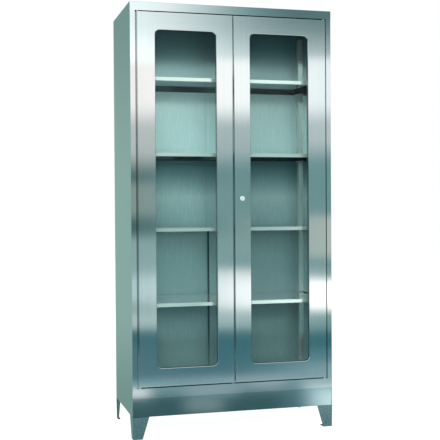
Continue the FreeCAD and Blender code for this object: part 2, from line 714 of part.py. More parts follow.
def door_bush(name, side, level, up):
    """A square nylon bush in the door's edge; up is +1 in the lower edge, sleeve upwards."""
    body = new_body(name, x=side * PIVOT_X, y=PIVOT_Y, z=level)
    bore = cell("pin_radius") + cell("pin_clearance")
    for half, ends in ((cell("bush_flange_width") / 2, (-(up * cell("bush_flange")), as_size(0))),
                       (cell("bush_width") / 2, (as_size(0), up * cell("bush_length")))):
        low, high = in_order(*ends)
        block = new_sketch(body, "XY", low)
        rectangle(block, -half, half, -half, half)
        circle(block, 0, 0, bore)
        pad(body, block, high - low)


def thrust_washer(name, side):
    """A hexagonal nylon washer on the lower pivot, which carries the door's weight."""
    body = new_body(name, x=side * PIVOT_X, y=PIVOT_Y, z=OPENING_BOTTOM)
    sketch = new_sketch(body, "XY")
    hexagon(sketch, as_size(0), as_size(0), cell("bush_flange_width") / 2)
    circle(sketch, 0, 0, cell("pin_radius"))
    pad(body, sketch, cell("door_gap") - cell("bush_flange") - cell("rod_clearance"))


def door_buffers():
    """Rubber pads on the stops that the closed doors rest on."""
    body = new_body("door_buffers")
    sketch = new_sketch(body, "XZ", STOP_FACE)
    for side in (-1, 1):
        for level in (OPENING_TOP - cell("buffer_rise"), OPENING_BOTTOM + cell("buffer_rise")):
            hexagon(sketch, side * cell("buffer_x"), level, cell("buffer_radius"))
    pad(body, sketch, STOP_FACE - DOOR_BACK - cell("rod_clearance"))


# Lock and rods of the right door

UPPER_ROD_GUIDES = (1130, 1480, 1840)
LOWER_ROD_GUIDES = (998, 648, 290)
BOLT_GUIDES = (1755, 1862, 257, 362)


def lock_housing():
    """The fixed barrel through the door, with its collar on the door's face."""
    bore, barrel, collar = (cell("core_radius") + cell("pin_clearance"), cell("lock_radius"),
                            cell("collar_radius"))
    front, end = FRONT - cell("collar"), ROD_FRONT - cell("barrel_gap")
    body = new_body("lock_housing", x=cell("lock_x"), z=cell("lock_height"))
    turn(body, [(bore, front), (collar, front), (collar, FRONT), (barrel, FRONT),
                (barrel, end), (bore, end)])


def lock_nut():
    """The hexagon nut that clamps the barrel behind the door."""
    body = new_body("lock_nut", x=cell("lock_x"), z=cell("lock_height"))
    sketch = new_sketch(body, "XZ", DOOR_BACK)
    hexagon(sketch, as_size(0), as_size(0), cell("lock_radius") + cell("lock_nut_rim"))
    circle(sketch, 0, 0, cell("lock_radius"))
    pad(body, sketch, cell("lock_nut_height"), backwards=True)


def lock_core():
    """The turning plug: a round core with a key slot, and the square tail that drives the cam."""
    body = new_body("lock_core", x=cell("lock_x"), z=cell("lock_height"))
    front = FRONT - cell("collar") + cell("core_recess")
    shoulder = ROD_FRONT - cell("barrel_gap")
    turn(body, [(0, front), (cell("core_radius"), front), (cell("core_radius"), shoulder),
                (0, shoulder)])
    end = CAM_FRONT + cell("cam_sheet") + cell("tail_end")
    tail = new_sketch(body, "XZ", end)
    tail_square(tail)
    pad(body, tail, end - shoulder)
    slot = new_sketch(body, "XZ", front)
    half_width, half_length = cell("key_slot_width") / 2, cell("key_slot_length") / 2
    rectangle(slot, -half_width, half_width, -half_length, half_length)
    pocket(body, slot, cell("key_slot_depth"))


def tail_square(sketch):
    """The square that the core's tail and the cam's hole share."""
    half = cell("tail") / 2
    rectangle(sketch, -half, half, -half, half)


def lock_cam():
    """A two-armed plate on the core's tail, whose crank pins drive the rods apart or together."""
    body = new_body("lock_cam", x=cell("lock_x"), z=cell("lock_height"))
    plate = new_sketch(body, "XZ", CAM_FRONT + cell("cam_sheet"))
    reach, tip, waist = cell("cam_reach"), cell("cam_tip") / 2, cell("cam_waist") / 2
    outline = [(reach, -tip), (reach, tip), (0, waist), (-reach, tip), (-reach, -tip), (0, -waist)]
    polygon(plate, [((along + across) * DIAGONAL, (across - along) * DIAGONAL)
                    for along, across in outline])
    tail_square(plate)
    pad(body, plate, cell("cam_sheet"))
    pins = new_sketch(body, "XZ", CAM_FRONT)
    throw = cell("crank") * DIAGONAL
    circle(pins, throw, -throw, cell("crank_pin_radius"))
    circle(pins, -throw, throw, cell("crank_pin_radius"))
    pad(body, pins, cell("rod_sheet") + cell("rod_clearance"))


def lock_screw():
    """The hexagon screw that holds the cam on the tail."""
    body = new_body("lock_screw", x=cell("lock_x"), z=cell("lock_height"))
    head = new_sketch(body, "XZ", CAM_FRONT + cell("cam_sheet") + cell("tail_end"))
    hexagon(head, as_size(0), as_size(0), cell("screw_head_radius"))
    pad(body, head, cell("screw_head"), backwards=True)


def flat_rod(body, middle, end, tip, up, slot=None):
    """A flat bar with a pointed tip, and a cross slot given as left, right, bottom, top."""
    half, point = cell("rod_width") / 2, cell("rod_sheet")
    sketch = new_sketch(body, "XZ", ROD_BACK)
    polygon(sketch, [(middle - half, end), (middle + half, end),
                     (middle + half, tip - up * point), (middle + half - point, tip),
                     (middle - half + point, tip), (middle - half, tip - up * point)])
    if slot:
        rectangle(sketch, *slot)
    pad(body, sketch, cell("rod_sheet"))


def espagnolette_rod(name, up):
    """A rod from the cam to the head (up +1) or the sill (-1), slotted for its crank pin."""
    body = new_body(name)
    throw, pin = cell("crank") * DIAGONAL, cell("crank_pin_radius")
    pin_level, spare = cell("lock_height") - up * throw, cell("rod_clearance")
    near = cell("lock_x") + up * (throw - pin - spare)
    far = cell("lock_x") + up * (cell("crank") + pin + spare)
    half_slot = pin + cell("slot_play")
    flat_rod(body, cell("lock_x") + up * cell("rod_offset"), pin_level - up * cell("rod_end"),
             ROD_TOP if up > 0 else ROD_BOTTOM, up,
             (*in_order(near, far), pin_level - half_slot, pin_level + half_slot))


def guide_plan(sketch, middle):
    """A guide block in plan with its closed slot for a rod."""
    half, wall, spare = cell("rod_width") / 2, cell("guide_wall"), cell("rod_clearance")
    rectangle(sketch, middle - half - spare - wall, middle + half + spare + wall,
              DOOR_BACK, ROD_BACK + spare + wall)
    rectangle(sketch, middle - half - spare, middle + half + spare,
              ROD_FRONT - spare, ROD_BACK + spare)


def guides(name, places):
    """Plastic guide blocks screwed to the door's liner, at (middle, bottom level) places."""
    body = new_body(name)
    for middle, level in places:
        sketch = new_sketch(body, "XY", level)
        guide_plan(sketch, middle)
        pad(body, sketch, cell("guide_length"))


def slide_bolt(name, up):
    """The left door's bolt at the head (up +1) or the sill (-1), with a thumb tab."""
    body = new_body(name)
    tip = ROD_TOP if up > 0 else ROD_BOTTOM
    end, half, middle = tip - up * cell("bolt_bar_length"), cell("rod_width") / 2, -cell("lock_x")
    flat_rod(body, middle, end, tip, up)
    tab = tip - up * cell("bolt_bar_length") / 2
    box(body, middle - half, middle + half, ROD_BACK, ROD_BACK + cell("tab_reach"),
        tab - cell("tab_sheet") / 2, tab + cell("tab_sheet") / 2)


# Assembly

def build_carcass():
    for side_name, side in (("left", -1), ("right", 1)):
        side_panel(f"{side_name}_side_panel", side)
        back_panel(f"back_panel_{side_name}", side)
    top_panel()
    bottom_rail()
    floor_panel()
    floor_stiffener()
    plinth_panel("plinth_front", FRONT + cell("plinth_setback"), 1)
    plinth_panel("plinth_rear", REAR - SHEET, -1)
    back_seam_cover()
    corner_plates()
    for end_name, side_name, side, end in CORNERS:
        foot(f"foot_{end_name}_{side_name}", side, end)
        shelf_upright(f"shelf_upright_{end_name}_{side_name}", side, end)
    for number in range(1, SHELF_COUNT + 1):
        shelf(number)
    shelf_clips()
    door_buffers()


def build_doors():
    for side_name, side in (("left", -1), ("right", 1)):
        door_skin(f"{side_name}_door_skin", side)
        door_liner(f"{side_name}_door_liner", side)
        door_gasket(f"{side_name}_door_gasket", side)
        door_pane(f"{side_name}_door_pane", side)
        door_pivot(f"{side_name}_top_pivot", side, OPENING_TOP, -1)
        door_pivot(f"{side_name}_bottom_pivot", side, OPENING_BOTTOM, 1)
        door_bush(f"{side_name}_door_top_bush", side, DOOR_TOP, -1)
        door_bush(f"{side_name}_door_bottom_bush", side, DOOR_BOTTOM, 1)
        thrust_washer(f"{side_name}_thrust_washer", side)


def build_locks():
    lock_housing()
    lock_nut()
    lock_core()
    lock_cam()
    lock_screw()
    espagnolette_rod("upper_rod", 1)
    espagnolette_rod("lower_rod", -1)
    upper, lower = cell("lock_x") + cell("rod_offset"), cell("lock_x") - cell("rod_offset")
    guides("rod_guides",
           [(upper, level) for level in UPPER_ROD_GUIDES]
           + [(lower, level) for level in LOWER_ROD_GUIDES])
    slide_bolt("left_upper_bolt", 1)
    slide_bolt("left_lower_bolt", -1)
    guides("left_bolt_guides", [(-cell("lock_x"), level) for level in BOLT_GUIDES])


def check(bodies):
    """Stop at an object that failed, a cut that removed nothing, or a bad shape."""
    for thing in doc.Objects:
        if {"Invalid", "Error"} & set(thing.State):
            raise RuntimeError(f"{thing.Name}: {thing.State}")
    for before, cut in cuts:
        if cut.Shape.Volume > before.Shape.Volume - 1:
            raise RuntimeError(f"{cut.Name} cuts nothing")
    for body in bodies:
        if body.Shape.isNull() or not body.Shape.isValid():
            raise RuntimeError(f"{body.Label}: bad shape")


build_carcass()
build_doors()
build_locks()
doc.recompute()
parts = [thing for thing in doc.Objects if thing.TypeId == "PartDesign::Body"]
check(parts)
os.makedirs("parts", exist_ok=True)
for part in parts:
    part.Shape.exportStep(f"parts/{part.Label}.step")
print(len(parts), "parts written")
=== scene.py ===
import math

import bmesh
import bpy
from mathutils import Matrix, Vector


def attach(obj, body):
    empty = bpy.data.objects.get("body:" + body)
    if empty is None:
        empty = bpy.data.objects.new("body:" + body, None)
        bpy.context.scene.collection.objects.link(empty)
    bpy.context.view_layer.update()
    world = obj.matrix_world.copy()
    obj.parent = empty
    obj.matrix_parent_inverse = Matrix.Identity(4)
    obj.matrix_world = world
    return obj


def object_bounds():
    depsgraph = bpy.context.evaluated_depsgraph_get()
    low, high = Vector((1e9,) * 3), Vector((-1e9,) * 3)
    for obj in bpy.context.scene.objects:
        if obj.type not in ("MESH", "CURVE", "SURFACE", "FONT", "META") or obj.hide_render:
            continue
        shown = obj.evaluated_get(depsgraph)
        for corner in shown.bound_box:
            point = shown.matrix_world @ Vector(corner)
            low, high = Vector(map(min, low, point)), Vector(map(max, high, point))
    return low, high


# The looks of a stainless steel display cabinet: brushed sheet, clear glass, black rubber,
# natural nylon and plated fasteners. Metres, with the doors facing -Y. Colours are linear.

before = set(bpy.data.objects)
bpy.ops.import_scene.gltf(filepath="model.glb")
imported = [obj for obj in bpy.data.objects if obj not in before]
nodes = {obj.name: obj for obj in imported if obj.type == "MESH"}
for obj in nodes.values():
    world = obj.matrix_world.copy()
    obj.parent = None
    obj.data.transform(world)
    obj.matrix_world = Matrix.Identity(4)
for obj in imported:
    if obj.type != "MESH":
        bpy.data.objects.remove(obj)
cad_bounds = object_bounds()


# Places on the doors, from the frame

def reach(name, axis):
    """The lowest and highest coordinate of a CAD node along an axis."""
    corners = [nodes[name].matrix_world @ Vector(corner) for corner in nodes[name].bound_box]
    values = [corner["XYZ".index(axis)] for corner in corners]
    return min(values), max(values)


PANE_OVERLAP = 0.008  # how far the pane reaches behind the window's edge
WINDOW_INNER = reach("right_door_pane", "X")[0] + PANE_OVERLAP
WINDOW_OUTER = reach("right_door_pane", "X")[1] - PANE_OVERLAP
WINDOW_BOTTOM = reach("right_door_pane", "Z")[0] + PANE_OVERLAP
WINDOW_TOP = reach("right_door_pane", "Z")[1] - PANE_OVERLAP


# Node trees

class Graph:
    """A node tree, with short ways to add a node and to feed its sockets."""

    def __init__(self, tree):
        self.tree = tree
        tree.nodes.clear()

    def add(self, kind, inputs=None, **settings):
        node = self.tree.nodes.new("ShaderNode" + kind)
        for name, value in settings.items():
            setattr(node, name, value)
        for name, value in (inputs or {}).items():
            self.feed(node.inputs[name], value)
        return node

    def feed(self, socket, value):
        if isinstance(value, bpy.types.NodeSocket):
            self.tree.links.new(value, socket)
        else:
            socket.default_value = value

    def math(self, operation, first, second=0.0):
        return self.add("Math", {0: first, 1: second}, operation=operation).outputs[0]

    def smooth(self, value, low, high, start=0.0, end=1.0):
        """A smooth step from start to end, as the value goes from low to high."""
        node = self.add("MapRange", {
            "Value": value, "From Min": low, "From Max": high, "To Min": start, "To Max": end},
            interpolation_type="SMOOTHSTEP")
        return node.outputs["Result"]

    def mix(self, kind, factor, first, second):
        """A value of a kind (FLOAT, VECTOR or RGBA) between two."""
        node = self.add("Mix", data_type=kind)
        node.clamp_factor = True
        socket_type = "VALUE" if kind == "FLOAT" else kind
        self.feed(node.inputs[0], factor)
        ends = [socket for socket in node.inputs[1:]
                if socket.type == socket_type and "Factor" not in socket.name]
        self.feed(ends[0], first)
        self.feed(ends[1], second)
        return next(socket for socket in node.outputs if socket.type == socket_type)

    def blend(self, factor, first, second):
        """A colour between two."""
        return self.mix("RGBA", factor, first, second)

    def mix_shaders(self, factor, first, second):
        return self.add("MixShader", {0: factor, 1: first, 2: second}).outputs[0]

    def place(self):
        """The place on the object, as its three coordinates."""
        corner = self.add("TexCoord").outputs["Object"]
        return self.add("SeparateXYZ", {0: corner}).outputs

    def noise(self, scale, detail=3.0, roughness=0.5, stretch=(1.0, 1.0, 1.0)):
        """Noise in the object's own coordinates, stretched by a factor for each axis."""
        place = self.add("TexCoord").outputs["Object"]
        mapped = self.add("Mapping", {"Vector": place, "Scale": stretch}).outputs["Vector"]
        noise = self.add("TexNoise", {
            "Vector": mapped, "Scale": scale, "Detail": detail, "Roughness": roughness})
        return noise.outputs[0]


def new_graph(name):
    material = bpy.data.materials.new(name)
    material.use_nodes = True
    return material, Graph(material.node_tree)


def surface(graph, shader):
    graph.add("OutputMaterial", {"Surface": shader})


WHITE = (1.0, 1.0, 1.0, 1.0)


# Brushed steel

STEEL = (0.700, 0.735, 0.725)
INNER = (0.70, 0.94, 0.97)
UPRIGHT = (0.66, 0.78, 0.78)
DULL = (0.58, 0.62, 0.615)
SHADED = (0.44, 0.57, 0.59)
# Painted shade: a darker copy of the steel for the door liners, so that the inside mirrors shade
SHADED_LINER = (0.33, 0.44, 0.45)
FOOT = (0.60, 0.75, 0.77)
# Painted shade: a darker copy of the steel for the rear feet, in shade under the cabinet
SHADED_REAR_FOOT = (0.20, 0.28, 0.28)
# Painted shade on undersides and behind the shelves' lips
UNDERSIDE_SHADE = (0.030, 0.080, 0.090, 1.0)
# Painted shade inside the cabinet, under its top and its shelves
RECESS_SHADE = (0.038, 0.165, 0.200, 1.0)
# The back's dark joint, with painted shadow at the seam
JOINT_AND_SHADOW = (0.002, 0.022, 0.034, 1.0)

# The grain, as noise scales per metre, and how much its parts darken or lighten the steel
GRAIN_ACROSS, GRAIN_ALONG = 2200.0, 18.0
STREAK_ACROSS, STREAK_ALONG = 420.0, 0.9
STREAK_DARKER, STREAK_LIGHTER = 0.03, 0.02
FINE_TONE, FINE_SHARE = 1.05, 0.5
CLOUD_TONE, CLOUD_SHARE = 0.94, 0.3
SHADE_SHARE = 0.9
AXES = {"X": (1.0, 0.0, 0.0), "Y": (0.0, 1.0, 0.0), "Z": (0.0, 0.0, 1.0)}


def grain_stretch(along, across_scale, along_scale):
    """Noise scales for the three axes, with the grain along one of them."""
    return tuple(along_scale if axis == along else across_scale for axis in "XYZ")


def shade(colour, factor):
    return tuple(min(channel * factor, 1.0) for channel in colour) + (1.0,)


def grain(graph, along):
    """The grain's fine lines and wider streaks, both from 0 to 1, and the way it smears light."""
    fine = graph.noise(scale=1.0, detail=4.0, roughness=0.62,
                       stretch=grain_stretch(along, GRAIN_ACROSS, GRAIN_ALONG))
    streak = graph.noise(scale=1.0, detail=3.0, roughness=0.55,
                         stretch=grain_stretch(along, STREAK_ACROSS, STREAK_ALONG))
    normal = graph.add("TexCoord").outputs["Normal"]
    across = graph.add("VectorMath", {0: normal, 1: AXES[along]}, operation="CROSS_PRODUCT")
    smear = graph.add("VectorTransform", {0: across.outputs[0]}, vector_type="VECTOR",
                      convert_from="OBJECT", convert_to="WORLD")
    return fine, streak, smear.outputs[0]


def steel_shader(graph, along="Z", colour=STEEL, roughness=0.09, smear=1.0, contrast=1.0,
                 metallic=1.0, crossed=None, shaded=None, dark=UNDERSIDE_SHADE):
    """Brushed sheet: grain along one axis, across it where crossed is 1, painted shade where
    shaded is.
    """
    fine, streak, tangent = grain(graph, along)
    if crossed:
        inside = crossed(graph)
        crossed_grain = grain(graph, "X" if along == "Z" else "Z")
        fine, streak = (graph.mix("FLOAT", inside, first, second)
                        for first, second in zip((fine, streak), crossed_grain))
    cloud = graph.noise(scale=3.1, detail=3.0, roughness=0.55)
    tone = graph.blend(graph.smooth(streak, 0.3, 0.7),
                       shade(colour, 1 - STREAK_DARKER * contrast),
                       shade(colour, 1 + STREAK_LIGHTER * contrast))
    tone = graph.blend(graph.smooth(fine, 0.35, 0.7, end=FINE_SHARE * contrast), tone,
                       shade(colour, FINE_TONE))
    tone = graph.blend(graph.smooth(cloud, 0.42, 0.75, end=CLOUD_SHARE), tone,
                       shade(colour, CLOUD_TONE))
    if shaded:
        tone = graph.blend(graph.math("MULTIPLY", shaded(graph), SHADE_SHARE), tone, dark)
    rough = graph.smooth(fine, 0.25, 0.75, roughness * 0.85, roughness * 1.2)
    bump = graph.add("Bump", {"Strength": 0.02, "Distance": 0.00005, "Height": fine})
    shader = graph.add("BsdfPrincipled", {
        "Base Color": tone, "Metallic": metallic, "Roughness": rough, "Anisotropic": smear,
        "Tangent": tangent, "Normal": bump.outputs["Normal"]})
    return shader.outputs["BSDF"]


def brushed_steel(name, **look):
    material, graph = new_graph(name)
    surface(graph, steel_shader(graph, **look))
    return material


# Where painted shade darkens the steel, or its grain turns. Each pair is where a soft change
# begins and ends, and a share is how strong the painted shade is at its strongest.

FACING = (-0.9, -0.6)  # the part of a face's normal that points along the axis
SOFT_EDGE = 0.004
MITRE = 0.012  # how far the grain of a door's strips fades into that of its stiles
BEHIND_LIP = (0.002, 0.004)  # from a shelf's front
EDGE_SHADE_LEFT, EDGE_SHADE_LEFT_SHARE = (0.003, 0.009), 0.7  # from the left door's outer edge
EDGE_SHADE_CENTRE, EDGE_SHADE_CENTRE_SHARE = (0.003, 0.008), 0.6  # from the middle of the cabinet
EDGE_SHADE_FOOT, EDGE_SHADE_HEAD = (0.34, 0.46), (1.60, 1.74)  # heights where the dark edges end
TOP_SHADE = (1.60, 1.86)  # heights on the back, under the cabinet's top
LOWER_SHADE, LOWER_SHARE = (0.90, 1.30), 0.62  # heights on the back, of its lower half
# Each shelf's shade on the back: how far down it reaches, and its share at the shelf
SHELF_SHADES = (("shelf_4", 0.04, 0.2), ("shelf_3", 0.30, 1.0), ("shelf_2", 0.14, 0.75),
                ("shelf_1", 0.36, 0.9))
JOINT_X, JOINT_HALF = -0.0045, (0.0035, 0.0065)  # the middle of the joint, and its half width
JOINT_FADE, JOINT_LOW, JOINT_HIGH = (0.18, 0.50), 0.3, 0.9  # heights, and its share at each


def facing(graph, axis):
    """1 on faces towards the negative end of an axis, and 0 on the others."""
    normal = graph.add("NewGeometry").outputs["Normal"]
    along = graph.add("SeparateXYZ", {0: normal}).outputs["XYZ".index(axis)]
    return graph.smooth(along, *FACING, start=1.0, end=0.0)


def facing_down(graph):
    """1 on undersides, where shade is painted."""
    return facing(graph, "Z")


def behind_the_lip(graph):
    """1 on a shelf's underside and on the flanges behind its front lip, where shade is painted."""
    y = graph.place()[1]
    lip = reach("shelf_1", "Y")[0]
    behind = graph.smooth(y, lip + BEHIND_LIP[0], lip + BEHIND_LIP[1])
    flange = graph.math("MULTIPLY", facing(graph, "Y"), behind)
    return graph.math("MAXIMUM", flange, facing_down(graph))


def beside_the_window(graph):
    """1 on the door's strips above and below its window, where the grain runs across."""
    x, _, z = graph.place()
    over = graph.smooth(z, WINDOW_TOP, WINDOW_TOP + SOFT_EDGE)
    under = graph.smooth(z, WINDOW_BOTTOM - SOFT_EDGE, WINDOW_BOTTOM, start=1.0, end=0.0)
    from_middle = graph.math("ABSOLUTE", x)
    inner = graph.smooth(from_middle, WINDOW_INNER - MITRE, WINDOW_INNER + SOFT_EDGE)
    outer = graph.smooth(from_middle, WINDOW_OUTER - SOFT_EDGE, WINDOW_OUTER + MITRE,
                         start=1.0, end=0.0)
    within = graph.math("MULTIPLY", inner, outer)
    return graph.math("MULTIPLY", graph.math("MAXIMUM", over, under), within)


def painted_edge_shade(graph):
    """Painted shade on the doors' edges beside the gaps, at the left frame and between them."""
    x, _, z = graph.place()
    left = reach("left_door_skin", "X")[0]
    at_left = graph.smooth(x, left + EDGE_SHADE_LEFT[0], left + EDGE_SHADE_LEFT[1],
                           start=EDGE_SHADE_LEFT_SHARE, end=0.0)
    between = graph.smooth(graph.math("ABSOLUTE", x), *EDGE_SHADE_CENTRE,
                           start=EDGE_SHADE_CENTRE_SHARE, end=0.0)
    below_head = graph.smooth(z, *EDGE_SHADE_HEAD, start=1.0, end=0.0)
    between = graph.math("MULTIPLY", between, below_head)
    above_foot = graph.smooth(z, *EDGE_SHADE_FOOT)
    return graph.math("MULTIPLY", graph.math("MAXIMUM", at_left, between), above_foot)


def under_cover(graph):
    """Painted shade inside, below the top and each shelf, fading out further down."""
    z = graph.place()[2]
    cover = graph.math("MAXIMUM", graph.smooth(z, *TOP_SHADE),
                       graph.smooth(z, *LOWER_SHADE, start=LOWER_SHARE, end=0.0))
    for shelf, depth, amount in SHELF_SHADES:
        level = reach(shelf, "Z")[0]
        below = graph.smooth(z, level - depth, level, end=amount)
        above = graph.smooth(z, level, level + SOFT_EDGE, start=1.0, end=0.0)
        cover = graph.math("MAXIMUM", cover, graph.math("MULTIPLY", below, above))
    return cover


def seam_joint_and_shadow(graph):
    """1 along the back's seam, a dark joint with painted shadow, below the second shelf, fading
    further down.
    """
    x, _, z = graph.place()
    away = graph.math("ABSOLUTE", graph.math("SUBTRACT", x, JOINT_X))
    line = graph.smooth(away, *JOINT_HALF, start=1.0, end=0.0)
    shelf = reach("shelf_2", "Z")[0]
    lower = graph.smooth(z, shelf - SOFT_EDGE, shelf + SOFT_EDGE, start=1.0, end=0.0)
    fade = graph.smooth(z, *JOINT_FADE, start=JOINT_LOW, end=JOINT_HIGH)
    return graph.math("MULTIPLY", line, graph.math("MULTIPLY", lower, fade))


def back_steel(name):
    """The back's sheets: duller inside, with painted shade under the top and the shelves."""
    material, graph = new_graph(name)
    outer = steel_shader(graph, roughness=0.16)
    inner = steel_shader(graph, colour=INNER, roughness=0.24, contrast=0.6, metallic=0.35,
                         shaded=under_cover, dark=RECESS_SHADE)
    # The seam: a dark joint, with painted shadow
    joint_and_shadow_bsdf = graph.add("BsdfDiffuse", {"Color": JOINT_AND_SHADOW}).outputs[0]
    inner = graph.mix_shaders(seam_joint_and_shadow(graph), inner, joint_and_shadow_bsdf)
    surface(graph, graph.mix_shaders(facing(graph, "Y"), outer, inner))
    return material


# The other materials

def plated_metal(name, colour, roughness, metallic=1.0):
    """A smooth plated metal with faint clouding."""
    material, graph = new_graph(name)
    cloud = graph.noise(scale=60.0, detail=4.0, roughness=0.6)
    tone = graph.blend(graph.smooth(cloud, 0.35, 0.7), shade(colour, 0.9), shade(colour, 1.05))
    rough = graph.smooth(cloud, 0.3, 0.7, roughness, roughness + 0.12)
    shader = graph.add("BsdfPrincipled", {
        "Base Color": tone, "Metallic": metallic, "Roughness": rough})
    surface(graph, shader.outputs["BSDF"])
    return material


def moulded(name, colour, roughness, depth=0.25):
    """Rubber or nylon: a little mottled, with a fine moulded texture."""
    material, graph = new_graph(name)
    mottle = graph.noise(scale=35.0, detail=3.0)
    skin = graph.noise(scale=900.0, detail=2.0)
    tone = graph.blend(mottle, shade(colour, 0.85), shade(colour, 1.1))
    rough = graph.smooth(skin, 0.3, 0.7, roughness - 0.06, roughness + 0.06)
    bump = graph.add("Bump", {"Strength": depth, "Distance": 0.0002, "Height": skin})
    shader = graph.add("BsdfPrincipled", {
        "Base Color": tone, "Roughness": rough, "Normal": bump.outputs["Normal"]})
    surface(graph, shader.outputs["BSDF"])
    return material


GLASS_TINT = (0.93, 0.975, 0.96, 1.0)
GLASS_SHARE = 0.15  # of the mirror image that plain glass would give


def clear_glass(name):
    """A thin pane: see-through, with the gloss that its angle gives and a faint smear."""
    material, graph = new_graph(name)
    smear = graph.noise(scale=7.0, detail=4.0, roughness=0.6)
    gloss = graph.add("BsdfPrincipled", {
        "Base Color": WHITE, "Metallic": 1.0,
        "Roughness": graph.smooth(smear, 0.45, 0.8, 0.0, 0.05)})
    through = graph.add("BsdfTransparent", {"Color": GLASS_TINT})
    angle = graph.add("Fresnel", {"IOR": 1.45})
    share = graph.math("MULTIPLY", angle.outputs[0], GLASS_SHARE)
    surface(graph, graph.mix_shaders(share, through.outputs[0], gloss.outputs[0]))
    return material


# Each material, with the function that makes it and its settings
LOOKS = {
    "door_steel": (brushed_steel, {"crossed": beside_the_window, "shaded": painted_edge_shade}),
    "rail_steel": (brushed_steel, {"along": "X", "roughness": 0.05, "smear": 0.1,
                                   "shaded": facing_down}),
    "plinth_steel": (brushed_steel, {"along": "X", "colour": SHADED, "roughness": 0.05,
                                     "smear": 0.1}),
    "side_steel": (brushed_steel, {"roughness": 0.07}),
    "shelf_steel": (brushed_steel, {"along": "X", "roughness": 0.07, "smear": 0.3,
                                    "metallic": 0.7, "shaded": behind_the_lip}),
    "back_steel": (back_steel, {}),
    "upright_steel": (brushed_steel, {"colour": UPRIGHT, "roughness": 0.15, "smear": 0.3,
                                      "metallic": 0.6}),
    "liner_steel": (brushed_steel, {"colour": SHADED_LINER, "roughness": 0.30, "smear": 0.5}),
    "base_steel": (brushed_steel, {"along": "X", "colour": DULL, "roughness": 0.30}),
    "foot_steel": (brushed_steel, {"colour": FOOT, "roughness": 0.24}),
    "rear_foot_steel": (brushed_steel, {"colour": SHADED_REAR_FOOT, "roughness": 0.24}),
    "zinc": (plated_metal, {"colour": (0.62, 0.62, 0.58), "roughness": 0.30}),
    "chrome": (plated_metal, {"colour": (0.84, 0.96, 0.90), "roughness": 0.18,
                              "metallic": 0.7}),
    "rubber": (moulded, {"colour": (0.030, 0.032, 0.034), "roughness": 0.60}),
    "nylon": (moulded, {"colour": (0.36, 0.37, 0.35), "roughness": 0.48, "depth": 0.1}),
    "glass": (clear_glass, {}),
}
MATERIALS = {name: make(name, **settings) for name, (make, settings) in LOOKS.items()}

# The words in a CAD node's name that give it a material
NODE_MATERIALS = {
    "door_steel": ["door_skin"],
    "rail_steel": ["top_panel", "bottom_rail"],
    "plinth_steel": ["plinth"],
    "side_steel": ["side_panel"],
    "shelf_steel": ["shelf_1", "shelf_2", "shelf_3", "shelf_4"],
    "back_steel": ["back_panel", "seam_cover"],
    "upright_steel": ["upright"],
    "liner_steel": ["door_liner"],
    "base_steel": ["floor_panel", "stiffener", "corner_plates"],
    "foot_steel": ["foot_front"],
    "rear_foot_steel": ["foot_rear"],
    "zinc": ["pivot", "cam", "screw", "lock_nut", "rod", "bolt", "clips"],
    "chrome": ["lock_core", "lock_housing"],
    "rubber": ["gasket", "buffers"],
    "nylon": ["bush", "washer", "guides"],
    "glass": ["pane"],
}


def material_for(node_name):
    """The material of a CAD node. The last match wins, so that a bolt's guides are nylon."""
    words = node_name.split("_")
    matches = [material_name for material_name, keys in NODE_MATERIALS.items() for key in keys
               if key in words or ("_" in key and key in node_name)]
    return MATERIALS[matches[-1]]


for node_name, node in nodes.items():
    node.data.materials.clear()
    node.data.materials.append(material_for(node_name))


# Small fasteners

HALF_WIDTH = cad_bounds[1][0]
HALF_DEPTH = reach("left_side_panel", "Y")[1]
FOOT_SHEET = 0.002
FOOT_PLATE = reach("foot_front_left", "Z")[1] - FOOT_SHEET
CORNER_PLATE = reach("base_corner_plates", "Z")[1]
# Bolts in a foot's plate: how far in from the cabinet's side, and from its front or back
FRONT_BOLTS = ((0.034, 0.058), (0.058, 0.034))
REAR_BOLTS = ((0.0113, 0.026), (0.0113, 0.058))
# Turned outlines, as radius and height, and how many sides they have
WASHER_SIDES, HEX_SIDES, SHANK_SIDES, RIVET_SIDES = 24, 6, 16, 12
WASHER = ((0.0082, 0.0), (0.0082, -0.0014))
HEX_HEAD = ((0.0068, -0.0014), (0.0068, -0.0058), (0.0060, -0.0066))
NUT = ((0.0068, 0.0), (0.0068, 0.0050), (0.0060, 0.0056))
BOLT_END = ((0.0040, 0.0056), (0.0040, 0.0086), (0.0034, 0.0092))
RIVET = ((0.0036, 0.0), (0.0034, 0.0005), (0.0026, 0.0011), (0.0012, 0.0014))
RIVET_MARGIN = 0.014
RIVET_ROWS = 10


def turned(mesh, centre, along, outline, sides):
    """Adds a closed form to a mesh: (radius, height) points turned about a centre."""
    axis = Vector(AXES[along])
    across, over = (Vector(AXES[other]) for other in "XYZ" if other != along)
    rings = []
    for radius, height in outline:
        angles = [2 * math.pi * step / sides for step in range(sides)]
        rings.append([mesh.verts.new(centre + axis * height + radius * (
            across * math.cos(angle) + over * math.sin(angle))) for angle in angles])
    for low, high in zip(rings, rings[1:]):
        for step in range(sides):
            after = (step + 1) % sides
            mesh.faces.new((low[step], low[after], high[after], high[step]))
    mesh.faces.new(rings[0])
    mesh.faces.new(rings[-1])


def add_piece(name, mesh, body):
    """Makes a zinc-plated object of a mesh, which rides with a body of the cabinet."""
    bmesh.ops.recalc_face_normals(mesh, faces=mesh.faces)
    data = bpy.data.meshes.new(name)
    mesh.to_mesh(data)
    mesh.free()
    data.materials.append(MATERIALS["zinc"])
    piece = bpy.data.objects.new(name, data)
    bpy.context.scene.collection.objects.link(piece)
    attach(piece, body)


